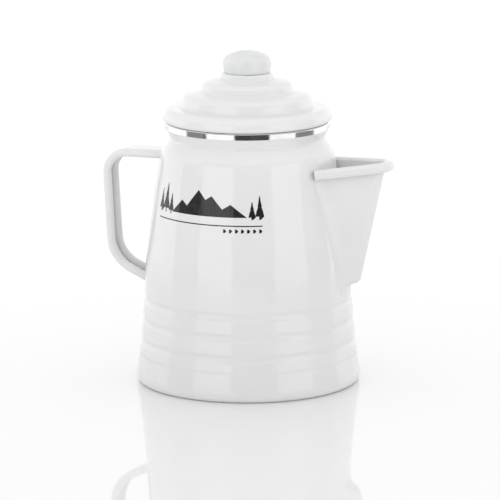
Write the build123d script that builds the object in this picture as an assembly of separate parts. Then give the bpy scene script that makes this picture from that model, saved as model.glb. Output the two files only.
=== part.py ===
"""Enamelled steel camping percolator with its lid, glass knob and brewing insert.

Millimetres, +Z up. The origin is the centre of the base at the height it rests on,
the spout points along +X and the handle is on the -X side.
"""
from build123d import *
from math import acos, atan2, cos, hypot, radians, sin, sqrt, tan
import os

# --- body ---------------------------------------------------------------------------
WALL = 1.2                # enamelled sheet of the body, lid and spout
PAN_RADIUS = 67.7         # widest part of the base pan
PAN_HEIGHT = 16.9         # top edge of the base pan
PAN_BULGE_Z = 5.0         # height of the widest part
PAN_CORNER = 3.0          # radius of its lower corner
FOOT_RADIUS = PAN_RADIUS - 12.1    # inner edge of the ring that the pot stands on
FOOT_RECESS = 0.8         # how far the middle of the base is raised
LAP_DEPTH = 5.0           # the body wall reaches this far down inside the pan
LAP_GAP = 0.05
BODY_FOOT_RADIUS = PAN_RADIUS - 1.9    # outside of the wall just above the pan
RIB_TOP_RADIUS = BODY_FOOT_RADIUS - 3.5    # outside of the wall just above the ribs
RIB_TOP_Z = PAN_HEIGHT + 37.6
RIB_CENTRES = (PAN_HEIGHT + 9.1, PAN_HEIGHT + 21.6, PAN_HEIGHT + 34.1)
RIB_HALF_WIDTH = 2.7
RIB_DEPTH = 0.85          # depth of the groove's corner before it is rounded
NECK_RADIUS = 46.2        # outside of the narrowest place under the rim
NECK_Z = 148.9
WAIST = (BODY_FOOT_RADIUS - 3.8, PAN_HEIGHT + 54.1)    # outside as radius and height
UPPER = (NECK_RADIUS + 9.3, NECK_Z - 28.9)
SHOULDER = (NECK_RADIUS + 5.9, NECK_Z - 8.3)
NECK = (NECK_RADIUS, NECK_Z)
TAPER_BEND = 120.0        # radii of the bends at the waist and above, shoulder and neck
SHOULDER_BEND = 14.0
NECK_BEND = 2.6
LIP_BEND = 1.5
LIP_RADIUS = NECK_RADIUS + 2.9     # outside of the flared lip inside the rim ring
LIP_Z = NECK_Z + 5.5

# --- rim ring -----------------------------------------------------------------------
RING_SHEET = 0.8
RING_CLEARANCE = 0.1      # between the lip and the ring rolled over it
RING_RADIUS = LIP_RADIUS + RING_CLEARANCE + RING_SHEET
RING_BOTTOM = LIP_Z + 0.5
RING_TOP = RING_BOTTOM + 3.7
RING_INNER_RADIUS = RING_RADIUS - 3.1
RING_INNER_LEG = 3.4

# --- strainer holes behind the spout --------------------------------------------------
STRAINER_HOLE = 4.0
STRAINER_PITCH = 7.0
STRAINER_ROWS = 7

# --- spout ----------------------------------------------------------------------------
SPOUT_TOP_Z = NECK_Z - 15.9        # where the widths below are measured
SPOUT_BOTTOM_Z = WAIST[1] - 9.0
SPOUT_NOSE_TOP = UPPER[0] + 30.3   # reach of the front edge at the top and the bottom
SPOUT_NOSE_BOTTOM = WAIST[0] + 8.2
SPOUT_WIDTH_TOP = 39.5    # outside width where the sides meet the body
SPOUT_WIDTH_BOTTOM = 17.0
SPOUT_NOSE_RADIUS_TOP = 8.0
SPOUT_NOSE_RADIUS_BOTTOM = 4.5
SPOUT_FLOOR_RADIUS = 4.2
RIM_CURL_RADIUS = 3.1     # outside radius of the rolled edge
RIM_CURL_SHEET = 1.0
RIM_CURL_REACH = 4.5      # the rolled edge is cut off this far beside the spout's sides
RIM_RISE = 3.0            # how much the rim climbs from the body to the tip
RIM_BODY_Z = SPOUT_TOP_Z - 1.1     # middle of the rolled edge where it meets the body
RIM_OPENING = 1.6         # the spout is cut open this far above the middle of the rolled edge
FLANGE_MARGIN_TOP = 2.0   # the weld flange stands out this far beside the spout
FLANGE_MARGIN_BOTTOM = 5.0
FLANGE_TOE = 9.0          # and reaches this far below it
FLANGE_TOE_RADIUS = 6.0
STRAINER_TOP_Z = SPOUT_TOP_Z - 9.0

# --- handle ---------------------------------------------------------------------------
HANDLE_WIDTH = 18.0
HANDLE_THICKNESS = 5.0
HANDLE_SHEET = 1.2
HANDLE_TOP_Z = NECK_Z - 12.9
HANDLE_TOP_REACH = PAN_RADIUS + 20.3
HANDLE_LOW_REACH = PAN_RADIUS + 16.9
HANDLE_LOW_Z = WAIST[1] - 0.4
HANDLE_SLOPE = 26.0       # degrees below level of the lower bar
HANDLE_TOP_BEND = 12.5
HANDLE_LOW_BEND = 21.0

# --- lid ------------------------------------------------------------------------------
KNOB_PLUG_RADIUS = 11.7   # the part of the glass knob that goes into the lid
KNOB_PLUG_CLEARANCE = 0.3
LID_SEAT_GAP = 0.05
LID_CURL_WIDTH = 4.3
LID_CURL_HEIGHT = 2.4
LID_BEAD_RADIUS = RING_RADIUS + 0.9
LID_BEAD_TOP = RING_TOP + 8.4
VALLEY_SCALE = LID_BEAD_RADIUS / 50.9      # the tiers spread with the lid
VALLEYS = (                                # the creases between the tiers
    (40.2 * VALLEY_SCALE, RING_TOP + 8.7),
    (28.4 * VALLEY_SCALE, RING_TOP + 18.1),
)
TIERS = (                                  # the shoulders above them
    (38.6 * VALLEY_SCALE, RING_TOP + 16.3),
    (26.6 * VALLEY_SCALE, RING_TOP + 23.8),
)
COLLAR = (
    (KNOB_PLUG_RADIUS + 4.7, RING_TOP + 25.7),
    (KNOB_PLUG_RADIUS + 3.5, RING_TOP + 29.0),
)
SKIRT_SHEET = 0.8
SKIRT_CLEARANCE = 0.1     # between the skirt and the pot's neck
SKIRT_BOTTOM = NECK_Z - 0.4

# --- glass knob and its bayonet ----------------------------------------------------------
KNOB_PLUG_DEPTH = 5.2
KNOB_GLASS = 2.4
KNOB_NECK_RADIUS = KNOB_PLUG_RADIUS + 2.1
KNOB_RADIUS = KNOB_PLUG_RADIUS + 2.9
KNOB_HEIGHT = 13.6
KNOB_DOME_RADIUS = 24.0
KNOB_SHOULDER = 3.5       # radius between the dome and the side
LUG_COUNT = 3
LUG_REACH = KNOB_PLUG_RADIUS + 1.8
LUG_THICKNESS = 1.5
LUG_CLEARANCE = 0.3
LUG_ANGLE = 28.0
NOTCH_MARGIN = 6.0        # degrees by which a notch is wider than a lug
NOTCH_TURN = 60.0         # turn from locked to lifting out

# --- pump: stem, foot and valve ------------------------------------------------------------
STEM_RADIUS = 4.0
STEM_BORE = STEM_RADIUS - 0.5
STEM_TOP = COLLAR[1][1] - 9.6
STEM_PORT = 2.4
BELL_SHEET = 0.8
BELL_RADIUS = NECK_RADIUS - 11.2   # it has to go in through the mouth
BELL_SKIRT = 2.5
BELL_SHOULDER = (STEM_RADIUS + 3.5, 15.5)    # radius, and height above the pot's floor
BELL_NECK_FOOT = 18.5
BELL_NECK_TOP = 25.0
BELL_PORTS = 6
BELL_PORT_RADIUS = 1.6
CAGE_RADIUS = STEM_RADIUS + 2.5
CAGE_SHEET = 0.8
CAGE_LIFT = 6.5           # underside of the cage above the pot's floor
CAGE_HOLE = 3.0
VALVE_RADIUS = CAGE_RADIUS - CAGE_SHEET - 0.5
VALVE_THICKNESS = 0.6
VALVE_TRAVEL = 1.8
VALVE_SPARE = 0.1
STOP_RADIUS = STEM_RADIUS + 2.8
STOP_HEIGHT = 2.5

# --- basket and spreader --------------------------------------------------------------------
BASKET_HEIGHT = 50.6
BASKET_Z = NECK_Z - 10.3 - BASKET_HEIGHT    # its mouth stays just under the neck
BASKET_SHEET = 0.6
BASKET_MOUTH_RADIUS = NECK_RADIUS - 6.8
BASKET_FLOOR_RADIUS = BASKET_MOUTH_RADIUS - 0.8
BASKET_LIP = 2.0
GUIDE_CLEARANCE = 0.35    # sleeve and spreader over the stem
SLEEVE_SHEET = 0.6
SLEEVE_HEIGHT = BASKET_HEIGHT - 10.6
SLEEVE_FLANGE = 3.0
SPREADER_DISH = 3.8
SPREADER_CLEARANCE = 1.4
SPREADER_COLLAR = 5.0
BASKET_HOLE_RINGS = ((12.0, 10), (18.0, 16), (24.0, 22), (30.0, 28))
BASKET_HOLE = 2.4
SPREADER_HOLE_RINGS = ((10.0, 8), (17.0, 14), (24.0, 20), (31.0, 26))
SPREADER_HOLE = 2.0


# --- heights and radii that follow from the sizes above -------------------------------------
FLOOR_Z = FOOT_RECESS + WALL
COLLAR_TOP = COLLAR[1][1]
PLUG_HOLE = KNOB_PLUG_RADIUS + KNOB_PLUG_CLEARANCE
SKIRT_RADIUS = NECK_RADIUS - WALL - SKIRT_CLEARANCE
CAGE_FLOOR = FLOOR_Z + CAGE_LIFT + CAGE_SHEET
STEM_BOTTOM = CAGE_FLOOR + VALVE_THICKNESS + VALVE_TRAVEL + VALVE_SPARE
GUIDE_RADIUS = STEM_RADIUS + GUIDE_CLEARANCE
SLEEVE_RADIUS = GUIDE_RADIUS + SLEEVE_SHEET
BASKET_TOP = BASKET_Z + BASKET_HEIGHT + BASKET_SHEET
TINY = 0.1                # smallest bend radius that is drawn


# --- outlines ---------------------------------------------------------------------------------
def side_step(corners, gap):
    """Corners of the line that runs `gap` to the left of a line of corners."""
    normals = []
    for (x0, y0), (x1, y1) in zip(corners, corners[1:]):
        length = hypot(x1 - x0, y1 - y0)
        normals.append((-(y1 - y0) / length, (x1 - x0) / length))
    moved = []
    for i, (x, y) in enumerate(corners):
        a = normals[max(i - 1, 0)]
        b = normals[min(i, len(normals) - 1)]
        share = gap / (1 + a[0] * b[0] + a[1] * b[1])
        moved.append((x + share * (a[0] + b[0]), y + share * (a[1] + b[1])))
    return moved


def bend_radii(corners, radii, gap):
    """Radii of the bends of the line `gap` to the left, concentric with the first ones."""
    result = []
    for (x0, y0), (x1, y1), (x2, y2), radius in zip(corners, corners[1:], corners[2:], radii):
        turns_left = (x1 - x0) * (y2 - y1) > (y1 - y0) * (x2 - x1)
        result.append(max(radius - gap if turns_left else radius + gap, TINY))
    return result


def sheet(corners, radii, thickness):
    """A sheet's section: one face along the corners, the other `thickness` to the left."""
    near = FilletPolyline(*corners, radius=radii)
    far_corners = side_step(corners, thickness)
    far = FilletPolyline(*far_corners, radius=bend_radii(corners, radii, thickness))
    ends = [Line(near @ 0, far @ 0), Line(near @ 1, far @ 1)]
    return make_face(Plane.XZ * (near + far + ends))


def turned(section, angle=360):
    """A section in the XZ plane turned about the pot's axis."""
    return revolve(section, Axis.Z, angle)


def ring(inner, outer, bottom, top, angle=360):
    """A plain ring about the pot's axis."""
    corners = [(inner, bottom), (outer, bottom), (outer, top), (inner, top)]
    return turned(make_face(Plane.XZ * Polyline(*corners, close=True)), angle)


def ring_of_holes(rings, diameter, bottom, top):
    """Upright pins to cut rings of holes with, as (radius, count) pairs."""
    pin = Cylinder(diameter / 2, top - bottom, align=(Align.CENTER, Align.CENTER, Align.MIN))
    return [
        Pos(radius * cos(turn), radius * sin(turn), bottom) * pin
        for radius, count in rings
        for turn in (radians(360 * i / count) for i in range(count))
    ]


# --- the pot ------------------------------------------------------------------------------------
def ribbed_corners():
    """Outside of the lower wall: three shallow grooves in a straight taper."""
    slope = (RIB_TOP_RADIUS - BODY_FOOT_RADIUS) / (RIB_TOP_Z - PAN_HEIGHT)

    def taper(z):
        return BODY_FOOT_RADIUS + slope * (z - PAN_HEIGHT)

    corners, radii = [], []
    for centre in RIB_CENTRES:
        for z, depth, radius in (
            (centre - RIB_HALF_WIDTH, 0, 1.0),
            (centre, RIB_DEPTH, 4.0),
            (centre + RIB_HALF_WIDTH, 0, 1.0),
        ):
            corners.append((taper(z) - depth, z))
            radii.append(radius)
    return corners, radii


def wall_corners():
    """Outside of the body wall, from the lap inside the pan up to the lip."""
    lap = BODY_FOOT_RADIUS - WALL - LAP_GAP
    ribs, rib_radii = ribbed_corners()
    corners = [(lap, PAN_HEIGHT - LAP_DEPTH), (lap, PAN_HEIGHT)]
    corners += [(BODY_FOOT_RADIUS, PAN_HEIGHT + WALL)] + ribs
    corners += [WAIST, UPPER, SHOULDER, NECK]
    corners += [(LIP_RADIUS, LIP_Z), (LIP_RADIUS, RING_TOP - RING_SHEET)]
    radii = [1.0, 0.5] + rib_radii
    radii += [TAPER_BEND, TAPER_BEND, SHOULDER_BEND, NECK_BEND, LIP_BEND]
    return corners, radii


def pot_envelope():
    """Everything inside the outside of the body wall, to trim what is welded to it."""
    corners, radii = wall_corners()
    outline = FilletPolyline(*corners, radius=radii)
    top, bottom = outline @ 1, outline @ 0
    rest = Polyline((top.X, top.Y), (0, top.Y), (0, bottom.Y), (bottom.X, bottom.Y))
    return turned(make_face(Plane.XZ * (outline + rest)))


def strainer_pins():
    """A triangle of pins, wide at the top, through the wall behind the spout."""
    row_step = STRAINER_PITCH * sin(radians(60))
    pin = Rot(0, 90, 0) * Cylinder(STRAINER_HOLE / 2, 2 * WAIST[0],
                                   align=(Align.CENTER, Align.CENTER, Align.MIN))
    pins = []
    for row in range(STRAINER_ROWS):
        count = max(5 - row * 4 // (STRAINER_ROWS - 1), 1)
        if (count + row) % 2 == 0 and count > 1:
            count -= 1
        for i in range(count):
            y = (i - (count - 1) / 2) * STRAINER_PITCH
            pins.append(Pos(0, y, STRAINER_TOP_Z - row * row_step) * pin)
    return pins


def make_pot_wall():
    corners, radii = wall_corners()
    return turned(sheet(corners, radii, WALL)) - strainer_pins()


def make_base_pan():
    corners = [(0, FOOT_RECESS), (FOOT_RADIUS - 1.6, FOOT_RECESS), (FOOT_RADIUS, 0)]
    corners += [(PAN_RADIUS - 0.6, 0), (PAN_RADIUS, PAN_BULGE_Z)]
    corners += [(BODY_FOOT_RADIUS + LAP_GAP, PAN_HEIGHT)]
    pan = turned(sheet(corners, [1.0, 1.0, PAN_CORNER, 12.0], WALL))
    seam_foot = PAN_HEIGHT - WALL / 2
    seam = ring(BODY_FOOT_RADIUS - WALL, BODY_FOOT_RADIUS + LAP_GAP, seam_foot, PAN_HEIGHT + WALL)
    return pan + (seam - pot_envelope()).solids().sort_by(SortBy.VOLUME)[-1]


def make_rim_ring():
    corners = [(RING_RADIUS, RING_BOTTOM), (RING_RADIUS, RING_TOP)]
    corners += [(RING_INNER_RADIUS, RING_TOP), (RING_INNER_RADIUS, RING_TOP - RING_INNER_LEG)]
    return turned(sheet(corners, [0.9, 0.9], RING_SHEET))


# --- the spout ------------------------------------------------------------------------------------
def spout_size(z):
    """Reach of the nose, outside width at the body and nose radius at a height."""
    share = (z - SPOUT_BOTTOM_Z) / (SPOUT_TOP_Z - SPOUT_BOTTOM_Z)
    low = (SPOUT_NOSE_BOTTOM, SPOUT_WIDTH_BOTTOM, SPOUT_NOSE_RADIUS_BOTTOM)
    high = (SPOUT_NOSE_TOP, SPOUT_WIDTH_TOP, SPOUT_NOSE_RADIUS_TOP)
    return [a + share * (b - a) for a, b in zip(low, high)]


def body_radius(z):
    """Outside radius of the plain upper wall at a height."""
    (r0, z0), (r1, z1) = (WAIST, UPPER) if z < UPPER[1] else (UPPER, SHOULDER)
    return r0 + (r1 - r0) * (z - z0) / (z1 - z0)


def spout_vee(z):
    """Centre and radius of the nose at a height, and the angle of the sides' normals."""
    reach, width, nose = spout_size(z)
    centre = reach - nose
    along, across = body_radius(z) - centre, width / 2
    return centre, nose, atan2(across, along) - acos(nose / hypot(along, across))


def spout_outline(z, inset):
    """The V of the spout at a height: two flat sides and a round nose."""
    centre, nose, side = spout_vee(z)
    back = body_radius(z) / 2
    radius = nose - inset
    x, y = centre + radius * cos(side), radius * sin(side)
    y_back = y + (x - back) * cos(side) / sin(side)
    outline = [Line((back, y_back), (x, y)), ThreePointArc((x, y), (centre + radius, 0), (x, -y))]
    outline += [Line((x, -y), (back, -y_back)), Line((back, -y_back), (back, y_back))]
    return Pos(0, 0, z) * make_face(outline)


def spout_body(bottom, inset):
    """The solid V between a height and well above the rim."""
    return loft([spout_outline(bottom, inset), spout_outline(SPOUT_TOP_Z + 12, inset)], ruled=True)


def rim_height(x):
    """Height of the middle of the rolled edge."""
    foot = body_radius(SPOUT_TOP_Z)
    return RIM_BODY_Z + RIM_RISE * (x - foot) / (SPOUT_NOSE_TOP - foot)


def rim_plane():
    """The tilted plane of the rim, with its local x axis towards the tip."""
    foot = body_radius(SPOUT_TOP_Z)
    slope = RIM_RISE / (SPOUT_NOSE_TOP - foot)
    return Plane(origin=(0, 0, rim_height(0)), x_dir=(1, 0, slope), z_dir=(-slope, 0, 1))


def make_rim_curl():
    """The edge of the spout, rolled outwards and down, with a gap under it."""
    plane = rim_plane()
    stretch = plane.x_dir.X
    centre, nose, side = spout_vee(rim_height(SPOUT_NOSE_TOP))
    middle = nose - WALL / 2
    apex = centre + middle / cos(side)
    back = body_radius(SPOUT_TOP_Z) / 2
    spread = (apex - back) * cos(side) / sin(side)
    corners = [(back / stretch, -spread), (apex / stretch, 0), (back / stretch, spread)]
    path = plane * FilletPolyline(*corners, radius=[middle])
    out = RIM_CURL_RADIUS - RIM_CURL_SHEET / 2 + WALL / 6

    def arc(radius):
        points = [(out + radius * cos(radians(t)), radius * sin(radians(t))) for t in (200, 40, -120)]
        return ThreePointArc(*points)

    outside, inside = arc(RIM_CURL_RADIUS), arc(RIM_CURL_RADIUS - RIM_CURL_SHEET)
    caps = [Line(outside @ 0, inside @ 0), Line(outside @ 1, inside @ 1)]
    heading = path % 0
    at = Plane(origin=path @ 0, x_dir=heading.cross(plane.z_dir), z_dir=-heading)
    return sweep(at * make_face([outside, inside, *caps]), path=path)


def make_flange():
    """The spout's foot, beaten flat onto the body around the spout."""
    half_low = SPOUT_WIDTH_BOTTOM / 2 + FLANGE_MARGIN_BOTTOM
    half_high = SPOUT_WIDTH_TOP / 2 + FLANGE_MARGIN_TOP
    toe = SPOUT_BOTTOM_Z - FLANGE_TOE
    corners = [(-half_high, SPOUT_TOP_Z - 1), (-half_low, SPOUT_BOTTOM_Z), (0, toe)]
    corners += [(half_low, SPOUT_BOTTOM_Z), (half_high, SPOUT_TOP_Z - 1)]
    outline = make_face(Polyline(*corners, close=True))
    outline = fillet(outline.vertices().sort_by(Axis.Y)[0], FLANGE_TOE_RADIUS)
    patch = extrude(Plane.YZ * outline, 2 * WAIST[0], dir=(1, 0, 0))
    corners = [(r + WALL, z) for r, z in (ribbed_corners()[0][-1], WAIST, UPPER, SHOULDER)]
    face = FilletPolyline(*corners, radius=TAPER_BEND)
    top, bottom = face @ 1, face @ 0
    face += Polyline((top.X, top.Y), (0, top.Y), (0, bottom.Y), (bottom.X, bottom.Y))
    return turned(make_face(Plane.XZ * face)) & patch


def make_spout_shell():
    shell = spout_body(SPOUT_BOTTOM_Z, 0)
    floor = shell.faces().sort_by(Axis.Z)[0]
    shell = fillet(floor.edges().filter_by(lambda e: e.center().X > WAIST[0]), SPOUT_FLOOR_RADIUS)
    hollow = spout_body(SPOUT_BOTTOM_Z + WALL, WALL)
    plane = rim_plane().offset(RIM_OPENING)
    above = extrude(plane * Rectangle(400, 200), 100)
    shell = (shell + make_flange()) - hollow - above
    curl = make_rim_curl() & Box(400, SPOUT_WIDTH_TOP + 2 * RIM_CURL_REACH, 400)
    return (shell + curl - pot_envelope()).solids().sort_by(SortBy.VOLUME)[-1]


# --- the handle ------------------------------------------------------------------------------------
def make_handle_strap():
    """A strap whose two edges are curled into tubes on the side that faces the pot."""
    slope = tan(radians(HANDLE_SLOPE))
    low_end = HANDLE_LOW_REACH - 30
    corners = [(-50, HANDLE_TOP_Z), (-HANDLE_TOP_REACH, HANDLE_TOP_Z)]
    corners += [(-HANDLE_LOW_REACH, HANDLE_LOW_Z), (-low_end, HANDLE_LOW_Z - 30 * slope)]
    path = Plane.XZ * FilletPolyline(*corners, radius=[HANDLE_TOP_BEND, HANDLE_LOW_BEND])
    curl = HANDLE_THICKNESS / 2
    middle = HANDLE_WIDTH / 2 - curl
    strap = Pos(0, (HANDLE_SHEET - HANDLE_THICKNESS) / 2) * Rectangle(2 * middle, HANDLE_SHEET)
    for side in (-middle, middle):
        strap += Pos(side, 0) * (Circle(curl) - Circle(curl - HANDLE_SHEET))
    start = Plane(origin=path @ 0, x_dir=(0, 1, 0), z_dir=(-1, 0, 0))
    return sweep(start * strap, path=path) - pot_envelope()


# --- the lid -----------------------------------------------------------------------------------------
def lid_corners():
    """Outside of the lid, from the rolled edge up and in to the knob's hole."""
    seat = RING_TOP + LID_SEAT_GAP
    inner = LID_BEAD_RADIUS - LID_CURL_WIDTH
    corners = [(inner, seat + LID_CURL_HEIGHT), (inner, seat), (LID_BEAD_RADIUS, seat)]
    corners += [(LID_BEAD_RADIUS, LID_BEAD_TOP)]
    radii = [1.8, 2.4, 5.0]
    for valley, tier in zip(VALLEYS, TIERS):
        corners += [valley, tier]
        radii += [1.2, 3.8]
    corners += [*COLLAR, (PLUG_HOLE, COLLAR_TOP)]
    radii += [1.4, 1.2]
    return corners, radii


def make_lid_shell():
    corners, radii = lid_corners()
    lid = turned(sheet(corners, radii, WALL))
    notch = LUG_ANGLE + NOTCH_MARGIN
    cutter = ring(PLUG_HOLE - 2, LUG_REACH + LUG_CLEARANCE, COLLAR_TOP - 2, COLLAR_TOP + 1, notch)
    for i in range(LUG_COUNT):
        lid -= Rot(0, 0, NOTCH_TURN - notch / 2 + 360 * i / LUG_COUNT) * cutter
    return lid


def make_lid_skirt():
    """The ring inside the lid that plugs the pot's mouth."""
    tall = ring(SKIRT_RADIUS - SKIRT_SHEET, SKIRT_RADIUS, SKIRT_BOTTOM, COLLAR_TOP)
    return (tall - make_lid_shell()).solids().sort_by(Axis.Z)[0]


def make_knob():
    """Blown glass: a hollow dome on a plug with three bayonet lugs."""
    seat = COLLAR_TOP
    dome_centre = seat + KNOB_HEIGHT - KNOB_DOME_RADIUS
    side = KNOB_RADIUS - KNOB_SHOULDER
    rise = sqrt((KNOB_DOME_RADIUS - KNOB_SHOULDER) ** 2 - side ** 2)
    lean = atan2(side, rise)

    def glass_face(inset, foot):
        """Dome, shoulder and side, each `inset` inside the outer face."""
        dome = KNOB_DOME_RADIUS - inset
        bend = KNOB_SHOULDER - inset

        def on_dome(angle):
            return dome * sin(angle), dome_centre + dome * cos(angle)

        half = (lean + radians(90)) / 2
        turn = (side + bend * sin(half), dome_centre + rise + bend * cos(half))
        widest = (side + bend, dome_centre + rise)
        top = ThreePointArc(on_dome(0), on_dome(lean / 2), on_dome(lean))
        shoulder = ThreePointArc(on_dome(lean), turn, widest)
        return top + shoulder + Spline(widest, foot, tangents=((0, -1), (-0.2, -1)))

    bore = KNOB_PLUG_RADIUS - KNOB_GLASS
    outer = glass_face(0, (KNOB_NECK_RADIUS, seat + 0.5))
    inner = glass_face(KNOB_GLASS, (bore, seat + 0.5))
    low = seat - KNOB_PLUG_DEPTH
    rest = Polyline(inner @ 1, (bore, low), (KNOB_PLUG_RADIUS, low), (KNOB_PLUG_RADIUS, seat),
                    (KNOB_NECK_RADIUS - 0.4, seat), outer @ 1)
    glass = turned(make_face(Plane.XZ * (outer + Line(outer @ 0, inner @ 0) + inner + rest)))
    lug_top = COLLAR_TOP - WALL - LUG_CLEARANCE
    lug = ring(KNOB_PLUG_RADIUS - 0.5, LUG_REACH, lug_top - LUG_THICKNESS, lug_top, LUG_ANGLE)
    for i in range(LUG_COUNT):
        glass += Rot(0, 0, 360 * i / LUG_COUNT - LUG_ANGLE / 2) * lug
    return glass


# --- the pump ------------------------------------------------------------------------------------------
def make_stem_tube():
    """The riser tube, with ports cut across its lower end."""
    tube = ring(STEM_BORE, STEM_RADIUS, STEM_BOTTOM, STEM_TOP)
    port = Pos(0, 0, STEM_BOTTOM) * Box(4 * STEM_RADIUS, STEM_PORT, 2 * STEM_PORT)
    return tube - port - Rot(0, 0, 90) * port


def make_foot_bell():
    """The bell over the hot floor, where the water boils up into the stem."""
    neck = STEM_RADIUS + BELL_SHEET
    corners = [(BELL_RADIUS, 0), (BELL_RADIUS, BELL_SKIRT), BELL_SHOULDER]
    corners += [(neck, BELL_NECK_FOOT), (neck, BELL_NECK_TOP)]
    section = sheet(corners, [1.5, 3.0, 2.0], BELL_SHEET)
    port = Rot(0, 90, 0) * Cylinder(BELL_PORT_RADIUS, 2 * BELL_RADIUS,
                                    align=(Align.CENTER, Align.CENTER, Align.MIN))
    ports = [Rot(0, 0, 360 * (i + 0.5) / BELL_PORTS) * port for i in range(BELL_PORTS)]
    return Pos(0, 0, FLOOR_Z) * (turned(section) - ports)


def make_valve_cage():
    """The cup under the stem that keeps the loose valve disc."""
    corners = [(CAGE_HOLE, CAGE_FLOOR - CAGE_SHEET), (CAGE_RADIUS, CAGE_FLOOR - CAGE_SHEET)]
    corners += [(CAGE_RADIUS, FLOOR_Z + BELL_NECK_TOP)]
    cup = turned(sheet(corners, [1.0], CAGE_SHEET))
    return (cup - make_foot_bell()).solids().sort_by(Axis.Z)[0]


def make_valve_disc():
    return ring(0, VALVE_RADIUS, CAGE_FLOOR, CAGE_FLOOR + VALVE_THICKNESS)


def make_stem_stop():
    """The ring on the stem that carries the basket."""
    return ring(STEM_RADIUS, STOP_RADIUS, BASKET_Z - STOP_HEIGHT, BASKET_Z)


# --- basket and spreader ----------------------------------------------------------------------------------
def make_basket_cup():
    top = BASKET_TOP - BASKET_SHEET
    corners = [(SLEEVE_RADIUS, BASKET_Z), (BASKET_FLOOR_RADIUS, BASKET_Z)]
    corners += [(BASKET_MOUTH_RADIUS, top), (BASKET_MOUTH_RADIUS + BASKET_LIP, top)]
    cup = turned(sheet(corners, [3.0, 0.6], BASKET_SHEET))
    return cup - ring_of_holes(BASKET_HOLE_RINGS, BASKET_HOLE, BASKET_Z - 1, BASKET_Z + 2)


def make_basket_sleeve():
    """The tube in the middle of the basket that slides over the stem."""
    floor = BASKET_Z + BASKET_SHEET
    tube = ring(GUIDE_RADIUS, SLEEVE_RADIUS, BASKET_Z, BASKET_Z + SLEEVE_HEIGHT)
    return tube + ring(GUIDE_RADIUS, SLEEVE_RADIUS + SLEEVE_FLANGE, floor, floor + SLEEVE_SHEET)


def make_spreader_plate():
    """The perforated cover that hangs in the basket's mouth and spreads the water."""
    low = BASKET_TOP - SPREADER_DISH
    dish = BASKET_MOUTH_RADIUS - SPREADER_CLEARANCE
    corners = [(GUIDE_RADIUS, low), (dish - 0.8, low), (dish, BASKET_TOP)]
    corners += [(BASKET_MOUTH_RADIUS + BASKET_LIP, BASKET_TOP)]
    plate = turned(sheet(corners, [1.5, 0.6], BASKET_SHEET))
    plate += ring(GUIDE_RADIUS, SLEEVE_RADIUS, low, low + SPREADER_COLLAR)
    return plate - ring_of_holes(SPREADER_HOLE_RINGS, SPREADER_HOLE, low - 1, low + 2)


MAKERS = {
    "pot_wall": make_pot_wall,
    "base_pan": make_base_pan,
    "rim_ring": make_rim_ring,
    "spout_shell": make_spout_shell,
    "handle_strap": make_handle_strap,
    "lid_shell": make_lid_shell,
    "lid_skirt": make_lid_skirt,
    "knob": make_knob,
    "stem_tube": make_stem_tube,
    "foot_bell": make_foot_bell,
    "valve_cage": make_valve_cage,
    "valve_disc": make_valve_disc,
    "stem_stop": make_stem_stop,
    "basket_cup": make_basket_cup,
    "basket_sleeve": make_basket_sleeve,
    "spreader_plate": make_spreader_plate,
}

os.makedirs("parts", exist_ok=True)
for node, make in MAKERS.items():
    export_step(make(), f"parts/{node}.step")
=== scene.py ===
import functools
import math

import bmesh
import bpy
from mathutils import Matrix, Vector
from mathutils.bvhtree import BVHTree


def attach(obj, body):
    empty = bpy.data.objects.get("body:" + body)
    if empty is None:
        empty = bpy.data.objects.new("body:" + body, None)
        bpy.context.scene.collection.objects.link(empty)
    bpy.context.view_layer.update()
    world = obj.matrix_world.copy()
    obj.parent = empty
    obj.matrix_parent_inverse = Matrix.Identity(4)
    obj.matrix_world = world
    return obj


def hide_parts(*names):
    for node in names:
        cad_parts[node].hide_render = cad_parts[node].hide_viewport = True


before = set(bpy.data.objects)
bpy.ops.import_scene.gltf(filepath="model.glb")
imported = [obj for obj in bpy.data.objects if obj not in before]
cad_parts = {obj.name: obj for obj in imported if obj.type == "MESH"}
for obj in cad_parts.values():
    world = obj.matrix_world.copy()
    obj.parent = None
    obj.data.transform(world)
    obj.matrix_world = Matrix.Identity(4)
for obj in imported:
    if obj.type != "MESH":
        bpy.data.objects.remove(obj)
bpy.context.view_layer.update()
MM = 0.001


def link(name, data):
    """A new object for the data, in the scene."""
    made = bpy.data.objects.new(name, data)
    bpy.context.scene.collection.objects.link(made)
    return made


# ------------------------------------------------------------------ camera
# Lengths in metres and angles in radians, but the lens and the sensor in millimetres.
# The azimuth runs round the pot from straight in front.
CAMERA_AZIMUTH = math.radians(18.0)
CAMERA_PITCH = 0.20653
CAMERA_ROLL = -0.00507649
CAMERA_DISTANCE = 2.3
CAMERA_HEIGHT = 0.560757
CAMERA_SIDE = 0.001228
CAMERA_LENS = 280.36
CAMERA_SENSOR = 36.0
CAMERA_CLIP = (0.1, 60.0)

# The camera's right, and the way from the pot to the camera, both level.
RIGHT = Vector((math.cos(CAMERA_AZIMUTH), math.sin(CAMERA_AZIMUTH), 0.0))
TOWARDS = Vector((math.sin(CAMERA_AZIMUTH), -math.cos(CAMERA_AZIMUTH), 0.0))


def make_camera():
    data = bpy.data.cameras.new("camera")
    data.lens = CAMERA_LENS
    data.sensor_width = CAMERA_SENSOR
    data.clip_start, data.clip_end = CAMERA_CLIP
    camera = link("camera", data)
    place = TOWARDS * CAMERA_DISTANCE + RIGHT * CAMERA_SIDE + Vector((0, 0, CAMERA_HEIGHT))
    forward = -TOWARDS * math.cos(CAMERA_PITCH) - Vector((0, 0, math.sin(CAMERA_PITCH)))
    up = RIGHT.cross(forward)
    c, s = math.cos(CAMERA_ROLL), math.sin(CAMERA_ROLL)
    across = RIGHT * c + up * s
    rising = up * c - RIGHT * s
    matrix = Matrix((across, rising, -forward)).transposed().to_4x4()
    matrix.translation = place
    camera.matrix_world = matrix
    bpy.context.scene.camera = camera


make_camera()


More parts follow.
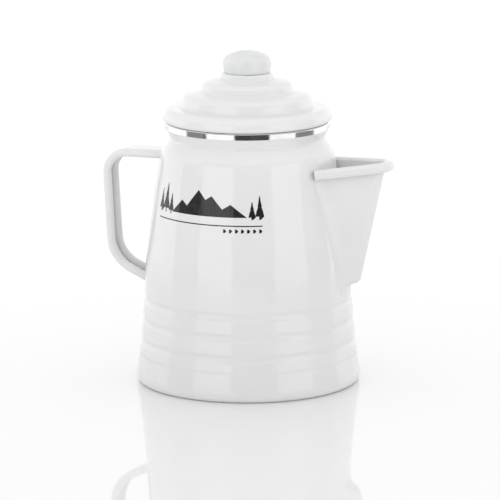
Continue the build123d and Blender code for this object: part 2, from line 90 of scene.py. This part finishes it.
# ------------------------------------------------------------------ materials
class Shader:
    """A material's node tree, with short calls for the nodes used here."""

    def __init__(self, name):
        self.material = bpy.data.materials.new(name)
        self.material.use_nodes = True
        self.tree = self.material.node_tree
        self.bsdf = next(n for n in self.tree.nodes if n.type == "BSDF_PRINCIPLED")

    def node(self, kind, **settings):
        """A new node of that kind."""
        made = self.tree.nodes.new(kind)
        for key, value in settings.items():
            setattr(made, key, value)
        return made

    def plug(self, target, value):
        """Link a socket to the target, or set the target to a constant."""
        if isinstance(value, bpy.types.NodeSocket):
            self.tree.links.new(value, target)
        elif value is not None:
            target.default_value = value

    def math(self, operation, a, b=None):
        """One step of arithmetic."""
        made = self.node("ShaderNodeMath", operation=operation)
        self.plug(made.inputs[0], a)
        self.plug(made.inputs[1], b)
        return made.outputs[0]

    def place(self):
        """Coordinates in metres on the object."""
        return self.node("ShaderNodeTexCoord").outputs["Object"]

    def noise(self, where, scale, detail=2.0, roughness=0.5):
        """Noise with that many cells to a unit of the coordinates."""
        made = self.node("ShaderNodeTexNoise")
        self.plug(made.inputs["Vector"], where)
        made.inputs["Scale"].default_value = scale
        made.inputs["Detail"].default_value = detail
        made.inputs["Roughness"].default_value = roughness
        return made.outputs["Fac"]

    def ramp(self, value, low, high, to_low, to_high):
        """The value's range from low to high, spread from to_low to to_high."""
        made = self.node("ShaderNodeMapRange")
        self.plug(made.inputs["Value"], value)
        made.inputs["From Min"].default_value = low
        made.inputs["From Max"].default_value = high
        made.inputs["To Min"].default_value = to_low
        made.inputs["To Max"].default_value = to_high
        return made.outputs["Result"]

    def mix(self, share, a, b):
        """The colour that share of the way from a to b."""
        made = self.node("ShaderNodeMix", data_type="RGBA")
        self.plug(made.inputs[0], share)
        self.plug(made.inputs[6], a)
        self.plug(made.inputs[7], b)
        return made.outputs[2]

    def bump(self, height, distance, normal=None):
        """A normal for relief of that depth in metres, on top of another normal."""
        made = self.node("ShaderNodeBump")
        made.inputs["Strength"].default_value = 1.0
        made.inputs["Distance"].default_value = distance
        self.plug(made.inputs["Height"], height)
        if normal is not None:
            self.plug(made.inputs["Normal"], normal)
        return made.outputs["Normal"]

    def round_the_axis(self, turns, across):
        """Coordinates that run round +Z, so that noise looks like turned or polished metal."""
        split = self.node("ShaderNodeSeparateXYZ")
        self.plug(split.inputs[0], self.place())
        x, y, z = split.outputs
        angle = self.math("ARCTAN2", y, x)
        squares = [self.math("MULTIPLY", side, side) for side in (x, y)]
        radius = self.math("SQRT", self.math("ADD", *squares))
        join = self.node("ShaderNodeCombineXYZ")
        self.plug(join.inputs[0], self.math("MULTIPLY", angle, turns))
        self.plug(join.inputs[1], self.math("MULTIPLY", radius, across))
        self.plug(join.inputs[2], self.math("MULTIPLY", z, across))
        return join.outputs[0]

    def set(self, **values):
        """Give the shader its values and return the material."""
        for key, value in values.items():
            self.plug(self.bsdf.inputs[key.replace("_", " ")], value)
        return self.material


def enamel():
    """White vitreous enamel: a thick glossy skin, faintly wavy, a little greyer where it thins."""
    s = Shader("white_enamel")
    where = s.place()
    cloud = s.ramp(s.noise(where, 22.0, 3.0), 0.35, 0.65, 0.0, 1.0)
    white = s.mix(cloud, (0.79, 0.794, 0.793, 1), (0.815, 0.818, 0.816, 1))
    rough = s.ramp(s.noise(where, 60.0, 4.0), 0.3, 0.7, 0.045, 0.085)
    slow = s.bump(s.noise(where, 75.0, 1.0), 0.00022)
    fine = s.bump(s.noise(where, 420.0, 2.0), 0.000018, normal=slow)
    return s.set(Base_Color=white, Roughness=rough, Normal=fine, IOR=1.52)


def polished_steel():
    """The stainless rim ring: bright, with hair lines that run round it."""
    s = Shader("polished_steel")
    lines = s.noise(s.round_the_axis(6.0, 9000.0), 1.0, 3.0)
    smudge = s.noise(s.place(), 90.0, 2.0)
    smear = s.ramp(smudge, 0.4, 0.8, 0.0, 0.06)
    rough = s.math("ADD", s.ramp(lines, 0.3, 0.7, 0.05, 0.11), smear)
    tone = s.mix(lines, (0.76, 0.76, 0.765, 1), (0.84, 0.84, 0.845, 1))
    return s.set(Base_Color=tone, Metallic=1.0, Roughness=rough, Normal=s.bump(lines, 0.000006))


def insert_steel():
    """Drawn stainless of the pump, basket and spreader, brushed round the axis."""
    s = Shader("brushed_steel")
    lines = s.noise(s.round_the_axis(3.0, 5200.0), 1.0, 4.0, 0.6)
    blot = s.noise(s.place(), 55.0, 3.0)
    stain = s.ramp(blot, 0.4, 0.8, 0.0, 0.08)
    rough = s.math("ADD", s.ramp(lines, 0.3, 0.7, 0.16, 0.30), stain)
    tone = s.mix(blot, (0.56, 0.56, 0.57, 1), (0.68, 0.68, 0.69, 1))
    return s.set(Base_Color=tone, Metallic=1.0, Roughness=rough, Normal=s.bump(lines, 0.00002))


def opal_glass():
    """Pressed opal glass: white and milky, the light goes a little way in."""
    s = Shader("opal_glass")
    where = s.place()
    swirl = s.ramp(s.noise(where, 140.0, 3.0), 0.35, 0.7, 0.0, 1.0)
    tone = s.mix(swirl, (0.765, 0.77, 0.775, 1), (0.81, 0.815, 0.815, 1))
    rough = s.ramp(s.noise(where, 220.0, 2.0), 0.3, 0.7, 0.03, 0.07)
    wave = s.bump(s.noise(where, 160.0, 1.0), 0.00004)
    s.bsdf.inputs["Subsurface Radius"].default_value = (1.0, 1.0, 1.0)
    s.bsdf.inputs["Subsurface Scale"].default_value = 0.004
    s.bsdf.inputs["Subsurface Weight"].default_value = 0.35
    s.bsdf.inputs["Transmission Weight"].default_value = 0.04
    return s.set(Base_Color=tone, Roughness=rough, Normal=wave, IOR=1.5)


# The material of each slot.
MATERIALS = {
    "enamel": enamel(),
    "polished_rim": polished_steel(),
    "knob_glass": opal_glass(),
    "insert_steel": insert_steel(),
}

# ------------------------------------------------------------------ stage
FLOOR_FRONT = 0.66        # metres from the pot to the front, back and side edges of the floor
FLOOR_BACK = 9.0
FLOOR_SIDE = 0.62
FLOOR_TONE = (0.885, 0.905)
FLOOR_ROUGHNESS = 0.03
FLOOR_IOR = 2.2           # a strong mirror image, as on a polished acrylic sheet
STUDIO_IOR = 1.6
CARD_DISTANCE = 3.4
CARD_LOW = -2.0
CARD_ROUGHNESS = 0.9
CARD_TONES = {"black": (0.02, 0.03), "grey": (0.19, 0.23)}
CARDS = (                 # name, from and to in degrees right of the camera, top, tone
    ("card_front_left", -62, 0, 2.4, "black"),
    ("card_front_right", 0, 66, 2.4, "black"),
    ("card_right", 66, 104, 2.0, "grey"),
    ("card_left", -92, -62, 1.6, "grey"),
)
SOFTBOX_DISTANCE = 1.15
SOFTBOX_LOW, SOFTBOX_HIGH = -0.35, 0.62
SOFTBOXES = (             # name, degrees right of the camera, width, radiance
    ("softbox_left", -37.5, 0.83, 1.25),
    ("softbox_right", 49, 0.80, 1.15),
)
SKY_RISE = (0.10, 0.50)   # upward part of a direction, where the sky starts and stops fading
SKY_STRENGTH = (1.30, 0.96)


def make_plate(name, corners, material, seen=True):
    """One flat face of the studio."""
    mesh = bpy.data.meshes.new(name)
    mesh.from_pydata([tuple(c) for c in corners], [], [tuple(range(len(corners)))])
    mesh.materials.append(material)
    made = link(name, mesh)
    made.visible_camera = seen
    return made


def stage_material(name, greys, rough, ior=STUDIO_IOR):
    """A grey, slightly clouded surface."""
    s = Shader(name)
    tone = s.mix(s.noise(s.place(), 3.0, 2.0), *((grey, grey, grey, 1) for grey in greys))
    return s.set(Base_Color=tone, Roughness=rough, IOR=ior)


def around(azimuth, distance, height):
    """A point seen from the object at azimuth degrees to the right of the camera."""
    a = math.radians(azimuth)
    flat = TOWARDS * math.cos(a) + RIGHT * math.sin(a)
    return flat * distance + Vector((0, 0, height))


def make_card(name, start, end, top, material):
    """A flat card of the studio between two directions, seen in reflections only."""
    a, b = (around(azimuth, CARD_DISTANCE, 0.0) for azimuth in (start, end))
    rise, drop = Vector((0, 0, top)), Vector((0, 0, CARD_LOW))
    card = make_plate(name, [a + drop, b + drop, b + rise, a + rise], material, seen=False)
    card.visible_diffuse = card.visible_shadow = False


def make_softbox(name, azimuth, width, radiance):
    """An upright window of light that faces the pot and shows in its gloss only."""
    height = SOFTBOX_HIGH - SOFTBOX_LOW
    light = bpy.data.lights.new(name, "AREA")
    light.shape = "RECTANGLE"
    light.size = width
    light.size_y = height
    light.energy = radiance * math.pi * width * height
    made = link(name, light)
    place = around(azimuth, SOFTBOX_DISTANCE, (SOFTBOX_LOW + SOFTBOX_HIGH) / 2)
    aim = Vector((0, 0, place.z)) - place
    made.rotation_mode = "QUATERNION"
    made.rotation_quaternion = aim.to_track_quat("-Z", "Y")
    made.location = place
    made.visible_camera = made.visible_diffuse = False


def make_sky():
    """Even white light from everywhere, a little weaker from above."""
    world = bpy.data.worlds.new("studio")
    world.use_nodes = True
    tree = world.node_tree
    split = tree.nodes.new("ShaderNodeSeparateXYZ")
    fade = tree.nodes.new("ShaderNodeMapRange")
    ends = zip(("From Min", "From Max", "To Min", "To Max"), SKY_RISE + SKY_STRENGTH)
    for socket, value in ends:
        fade.inputs[socket].default_value = value
    background = tree.nodes["Background"]
    background.inputs["Color"].default_value = (1, 1, 1, 1)
    tree.links.new(tree.nodes.new("ShaderNodeTexCoord").outputs["Generated"], split.inputs[0])
    tree.links.new(split.outputs["Z"], fade.inputs["Value"])
    tree.links.new(fade.outputs["Result"], background.inputs["Strength"])
    bpy.context.scene.world = world


def make_stage():
    front, back, side = TOWARDS * FLOOR_FRONT, TOWARDS * -FLOOR_BACK, RIGHT * FLOOR_SIDE
    floor = stage_material("pale_floor", FLOOR_TONE, FLOOR_ROUGHNESS, FLOOR_IOR)
    make_plate("floor", [front - side, front + side, back + side, back - side], floor)
    cards = {
        name: stage_material(name + "_card", greys, CARD_ROUGHNESS)
        for name, greys in CARD_TONES.items()
    }
    for name, start, end, top, tone in CARDS:
        make_card(name, start, end, top, cards[tone])
    for name, azimuth, width, radiance in SOFTBOXES:
        make_softbox(name, azimuth, width, radiance)
    make_sky()
    bpy.context.scene.view_settings.view_transform = "Standard"


make_stage()

# ------------------------------------------------------------------ pieces
WELD = 1e-7               # points closer than this are one
SHARP_EDGE = math.radians(38)


def add_piece(name, points, faces, body, slot):
    """A smooth closed piece on a body, in the material of a slot."""
    mesh = bpy.data.meshes.new(name)
    mesh.from_pydata([tuple(p) for p in points], [], faces)
    work = bmesh.new()
    work.from_mesh(mesh)
    bmesh.ops.remove_doubles(work, verts=work.verts, dist=WELD)
    bmesh.ops.recalc_face_normals(work, faces=work.faces)
    work.to_mesh(mesh)
    work.free()
    mesh.materials.append(MATERIALS[slot])
    mesh.shade_smooth()
    mesh.set_sharp_from_angle(angle=SHARP_EDGE)
    made = link(name, mesh)
    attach(made, body)
    return made


def grid_faces(rows, columns, start=0, flip=False, wrap=False):
    """Faces between rows of points; wrap closes each row into a ring."""
    faces = []
    for i in range(rows - 1):
        for j in range(columns if wrap else columns - 1):
            k = (j + 1) % columns
            a, b = start + i * columns + j, start + i * columns + k
            c, d = start + (i + 1) * columns + k, start + (i + 1) * columns + j
            faces.append((d, c, b, a) if flip else (a, b, c, d))
    return faces


def surface_of(node):
    """A BVH of a CAD node, to find where its outer skin is."""
    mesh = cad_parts[node].data
    return BVHTree.FromPolygons([v.co for v in mesh.vertices], [p.vertices for p in mesh.polygons])


WALL_SKIN = surface_of("pot_wall")
OUTSIDE = 0.2             # metres from the axis, beyond the whole pot


def skin_radius(angle, z):
    """Outside radius of the pot's wall in metres, met from outside at that angle and height."""
    out = Vector((math.cos(angle), math.sin(angle), 0.0))
    hit = WALL_SKIN.ray_cast(out * OUTSIDE + Vector((0, 0, z)), -out)[0]
    return math.hypot(hit.x, hit.y)


# ------------------------------------------------------------------ print
# A transfer of hills and pines over a thin rule, black under the glaze. Metres.
PRINT_START = math.radians(-139.0)
PRINT_Z = 0.1005
PRINT_RADIUS = 0.0568     # radius that the outlines below are rolled at
PRINT_THICK = 0.00006
PRINT_LIFT = 0.00001      # its underside over the wall
PRINT_STEP = 0.0016       # the print is cut this fine, to follow the wall
PRINT_WELD = 2e-7         # points closer than this are one
PRINT_CUT = 1e-7          # points closer than this to a cut are on it

# Outlines in millimetres: along the arc, and up. A pine's sizes are its place along the
# arc, its height and the reach of its lowest branches.
RIDGE = ((15, 9.5), (23, 17.5), (27, 14.5), (35, 24.5), (40, 19.0), (44, 21.5), (51, 14.0),
         (56, 17.0), (66, 9.5))
PINES = ((3, 13.5, 2.7), (8.4, 17.5, 3.2), (13.6, 12.0, 2.4), (69, 10.5, 2.2), (73.6, 14.0, 2.6))
PINE_FOOT = 8.2
PINE_TIERS = 4
PINE_TRUNK = 0.4          # half its width
TRUNK_SHARE = 0.14        # of a pine's height
NOTCH_SHARE = 0.62        # how far the branches of one tier draw in below the next
NOTCH_LEAST = 0.25
NOTCH_RISE = 0.9
RULE = ((1.5, 4.2), (75.0, 4.2), (75.0, 4.85), (1.5, 4.85))
WEDGE = ((0, 0.4), (1.0, 0.4), (1.9, 1.5), (1.0, 2.6), (0, 2.6), (0.9, 1.5))
WEDGE_COUNT = 7
WEDGE_START, WEDGE_STEP = 52.0, 3.5


def pine(x, height, spread):
    """A pine at x: a trunk under tiers of branches that narrow to a point."""
    trunk_top = PINE_FOOT + height * TRUNK_SHARE
    step = height * (1 - TRUNK_SHARE) / PINE_TIERS
    branches = []
    for i in range(PINE_TIERS):
        low = trunk_top + step * i
        notch = spread * (1 - (i + 1) / PINE_TIERS) * NOTCH_SHARE + NOTCH_LEAST
        branches += [(spread * (1 - i / PINE_TIERS), low), (notch, low + step * NOTCH_RISE)]
    half = [(PINE_TRUNK, PINE_FOOT), (PINE_TRUNK, trunk_top)] + branches
    right = [(x + reach, up) for reach, up in half]
    left = [(x - reach, up) for reach, up in reversed(half)]
    return right + [(x, PINE_FOOT + height)] + left


def print_shapes():
    """The outlines of everything in the print."""
    wedges = [
        [(WEDGE_START + WEDGE_STEP * i + x, up) for x, up in WEDGE] for i in range(WEDGE_COUNT)
    ]
    return [RIDGE] + [pine(*sizes) for sizes in PINES] + [RULE] + wedges


def cut_grid(work):
    """Cut flat faces into strips both ways, so that they bend with the wall."""
    low = [min(v.co[i] for v in work.verts) for i in range(2)]
    high = [max(v.co[i] for v in work.verts) for i in range(2)]
    for axis in range(2):
        cut = low[axis] + PRINT_STEP
        while cut < high[axis]:
            point, normal = [0.0] * 3, [0.0] * 3
            point[axis], normal[axis] = cut, 1.0
            everything = work.verts[:] + work.edges[:] + work.faces[:]
            bmesh.ops.bisect_plane(work, geom=everything, plane_co=point, plane_no=normal,
                                   dist=PRINT_CUT)
            cut += PRINT_STEP
    bmesh.ops.remove_doubles(work, verts=work.verts, dist=PRINT_WELD)


def print_ink():
    """Black ceramic ink, fired: glossy, with a faint unevenness from the screen."""
    s = Shader("print_ink")
    grain = s.noise(s.place(), 900.0, 2.0)
    cover = s.ramp(grain, 0.3, 0.75, 0.0, 1.0)
    tone = s.mix(cover, (0.012, 0.012, 0.013, 1), (0.035, 0.035, 0.037, 1))
    rough = s.ramp(grain, 0.3, 0.7, 0.10, 0.18)
    return s.set(Base_Color=tone, Roughness=rough, Normal=s.bump(grain, 0.00002), IOR=1.5)


def make_print():
    work = bmesh.new()
    for outline in print_shapes():
        work.faces.new([work.verts.new((x * MM, up * MM, 0.0)) for x, up in outline])
    bmesh.ops.triangulate(work, faces=work.faces[:])
    cut_grid(work)
    top = bmesh.ops.extrude_face_region(work, geom=work.faces[:])
    raised = {v for v in top["geom"] if isinstance(v, bmesh.types.BMVert)}
    for v in work.verts:
        angle = PRINT_START + v.co.x / PRINT_RADIUS
        z = PRINT_Z + v.co.y
        radius = skin_radius(angle, z) + (PRINT_THICK if v in raised else PRINT_LIFT)
        v.co = Vector((radius * math.cos(angle), radius * math.sin(angle), z))
    bmesh.ops.recalc_face_normals(work, faces=work.faces)
    mesh = bpy.data.meshes.new("print_hills")
    work.to_mesh(mesh)
    work.free()
    mesh.materials.append(print_ink())
    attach(link("print_hills", mesh), "pot")


make_print()

# ------------------------------------------------------------------ spout
# One pressed sheet that flares out of the wall, with its rim rolled outwards. Millimetres,
# and pairs are its values at the bottom and at the top.
SPOUT_LOW, SPOUT_HIGH = 62.0, 133.0
NOSE_REACH = (70.2, 85.8)
HALF_WIDTH = (8.5, 19.75)
NOSE_RADIUS = (4.5, 8.0)
FLARE = (7.0, 4.6)        # size of the fillet between the spout and the wall
SHEET = 1.2
FLOOR_ROUND = 4.2         # the bend under the spout: its size and the power of its curve
FLOOR_POWER = 2.4
TOE_Z = 53.0              # lower end of the sheet, and how fast it sinks into the wall there
TOE_SLOPE = 0.75
OUTER_SINK = 0.14         # the sheet's two faces end this deep inside the wall
INNER_SINK = 0.5
RIM_FOOT = 53.36          # radius of the wall at the rim
RIM_Z = 131.9
RIM_RISE = 3.0
RIM_OPEN = 1.6            # the sheet ends this far above the middle of the rolled edge
SPOUT_SPREAD = math.radians(31.0)
SPOUT_COLUMNS, SPOUT_ROWS = 161, 120
ROW_CROWDING = 1.35       # brings the rows closer together towards the bottom
SPOUT_HEADROOM = 4.0      # the V is known this far above its top
RIM_PASSES = 3            # to find where the sloping rim crosses the sheet

CURL, CURL_SHEET = 3.1, 1.0               # outside radius of the rolled edge, and its sheet
CURL_OFFSET = 2.8         # from the middle of the spout's sheet out to the middle of the roll
CURL_START, CURL_TURN = 200, 300          # degrees round the rolled edge
CURL_STEPS = 26
CURL_SPACING = 0.8
CURL_SINK = 1.2           # its ends go this deep into the wall
NOSE_STEPS = 12           # from the side of the nose to its tip


def lerp(ends, share):
    return ends[0] + (ends[1] - ends[0]) * share


def smooth_max(a, b, k):
    """The larger of two lengths, with a fillet of size k where they meet."""
    h = max(k - abs(a - b), 0.0) / k
    return max(a, b) + h * h * k / 4


def spout_share(z):
    """How far up the spout a height is, from 0 to 1."""
    return (z - SPOUT_LOW) / (SPOUT_HIGH - SPOUT_LOW)


@functools.cache
def wall_radius(z):
    """Outside radius in millimetres of the wall at a height, away from the strainer holes."""
    return skin_radius(math.radians(-90.0), z * MM) / MM


def vee(z):
    """Centre and radius of the spout's nose at a height, and the angle of its sides' normals."""
    share = spout_share(z)
    nose = lerp(NOSE_RADIUS, share)
    centre = lerp(NOSE_REACH, share) - nose
    along, across = wall_radius(min(z, SPOUT_HIGH)) - centre, lerp(HALF_WIDTH, share)
    return centre, nose, math.atan2(across, along) - math.acos(nose / math.hypot(along, across))


def vee_reach(angle, z, inset):
    """How far out the side or nose of the spout is, in a direction from the pot's axis."""
    centre, nose, side = vee(z)
    nose -= inset
    angle = abs(angle)
    turn = math.atan2(nose * math.sin(side), centre + nose * math.cos(side))
    if angle < turn:
        return centre * math.cos(angle) + math.sqrt(nose ** 2 - (centre * math.sin(angle)) ** 2)
    return (nose + centre * math.cos(side)) / math.cos(angle - side)


def spout_height(angle, z, low, inset):
    """Height of the pressed spout over the wall: below nought where it isn't there."""
    level = max(z, low)
    height = vee_reach(angle, level, inset) - wall_radius(level)
    fall = max(1 - (z - low) / FLOOR_ROUND, 0.0)
    if fall and height > 0:
        height *= (1 - min(fall, 1.0) ** FLOOR_POWER) ** (1 / FLOOR_POWER)
    return height - (level - z) * TOE_SLOPE


def spout_outer(angle, z):
    """Radius of the spout's outer face."""
    height = spout_height(angle, z, SPOUT_LOW, 0.0)
    flare = lerp(FLARE, max(spout_share(z), 0.0))
    return wall_radius(z) + smooth_max(height, 0.0, flare) - OUTER_SINK


def spout_inner(angle, z):
    """Radius of the spout's inner face."""
    return wall_radius(z) + max(spout_height(angle, z, SPOUT_LOW + SHEET, SHEET), -INNER_SINK)


def rim_z(x):
    """Height of the middle of the rolled edge."""
    return RIM_Z + RIM_RISE * (x - RIM_FOOT) / (NOSE_REACH[1] - RIM_FOOT)


def sheet_top(angle):
    """Height at which the sheet is cut off, in a direction from the pot's axis."""
    top = rim_z(RIM_FOOT) + RIM_OPEN
    for _ in range(RIM_PASSES):
        reach = spout_outer(angle, min(top, SPOUT_HIGH + SPOUT_HEADROOM)) * math.cos(angle)
        top = rim_z(reach) + RIM_OPEN
    return top


def spout_sheet():
    """Points and faces of the closed sheet: both faces and the four edges between them."""
    columns, rows = SPOUT_COLUMNS, SPOUT_ROWS
    angles = [SPOUT_SPREAD * (2 * j / (columns - 1) - 1) for j in range(columns)]
    tops = [sheet_top(angle) for angle in angles]
    points = []
    for skin in (spout_outer, spout_inner):
        for i in range(rows):
            share = (i / (rows - 1)) ** ROW_CROWDING
            for angle, top in zip(angles, tops):
                z = TOE_Z + (top - TOE_Z) * share
                radius = skin(angle, z)
                points.append(Vector((radius * math.cos(angle), radius * math.sin(angle), z)) * MM)
    second = rows * columns
    faces = grid_faces(rows, columns) + grid_faces(rows, columns, start=second, flip=True)
    for j in range(columns - 1):
        top = (rows - 1) * columns + j
        faces.append((j, j + 1, second + j + 1, second + j))
        faces.append((top + 1, top, second + top, second + top + 1))
    for i in range(rows - 1):
        left, right = i * columns, i * columns + columns - 1
        faces.append((left + columns, left, second + left, second + left + columns))
        faces.append((right, right + columns, second + right + columns, second + right))
    return points, faces


def rim_line():
    """Places along the middle of the sheet at the rim, each with its direction outwards."""
    centre, nose, side = vee(SPOUT_HIGH)
    middle = nose - SHEET / 2
    out = Vector((math.cos(side), math.sin(side)))
    run = Vector((-out.y, out.x))
    start = Vector((centre, 0)) + out * middle
    flank = []
    length = 0.0
    while (start + run * length).length > RIM_FOOT - CURL_SINK:
        flank.append((start + run * length, out))
        length += CURL_SPACING
    tip = []
    for i in range(1, 2 * NOSE_STEPS):
        turn = side * (1 - i / NOSE_STEPS)
        out = Vector((math.cos(turn), math.sin(turn)))
        tip.append((Vector((centre, 0)) + out * middle, out))
    far_flank = [(Vector((p.x, -p.y)), Vector((n.x, -n.y))) for p, n in flank]
    return flank[::-1] + tip + far_flank


def rolled_edge():
    """Points and faces of the rolled edge: an open C along the rim, closed at its two cut ends."""
    slope = RIM_RISE / (NOSE_REACH[1] - RIM_FOOT)
    up = Vector((-slope, 0, 1)).normalized()
    turns = [math.radians(CURL_START - CURL_TURN * k / CURL_STEPS) for k in range(CURL_STEPS + 1)]
    section = [(CURL, a) for a in turns] + [(CURL - CURL_SHEET, a) for a in reversed(turns)]
    points = []
    line = rim_line()
    for place, out in line:
        spot = Vector((place.x, place.y, rim_z(place.x)))
        across = Vector((out.x, out.y, slope * out.x)).normalized()
        for radius, a in section:
            aside, above = CURL_OFFSET + radius * math.cos(a), radius * math.sin(a)
            points.append((spot + across * aside + up * above) * MM)
    count = len(section)
    faces = grid_faces(len(line), count, wrap=True)
    last = (len(line) - 1) * count
    for k in range(CURL_STEPS):
        inside, next_inside = count - 1 - k, count - 2 - k
        faces.append((k, k + 1, next_inside, inside))
        faces.append((last + k + 1, last + k, last + inside, last + next_inside))
    return points, faces


def make_spout():
    points, faces = spout_sheet()
    edge_points, edge_faces = rolled_edge()
    faces += [tuple(len(points) + v for v in face) for face in edge_faces]
    made = add_piece("spout_skin", points + edge_points, faces, "pot", "enamel")
    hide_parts("spout_shell")


make_spout()

# ------------------------------------------------------------------ CAD nodes
INSERT = ("stem_tube", "foot_bell", "valve_cage", "stem_stop", "valve_disc", "basket_cup",
          "basket_sleeve", "spreader_plate")
NODE_SLOTS = {
    "rim_ring": "polished_rim",
    "knob": "knob_glass",
    **dict.fromkeys(INSERT, "insert_steel"),
}
for name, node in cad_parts.items():
    for holder in node.material_slots:
        holder.material = MATERIALS[NODE_SLOTS.get(name, "enamel")]
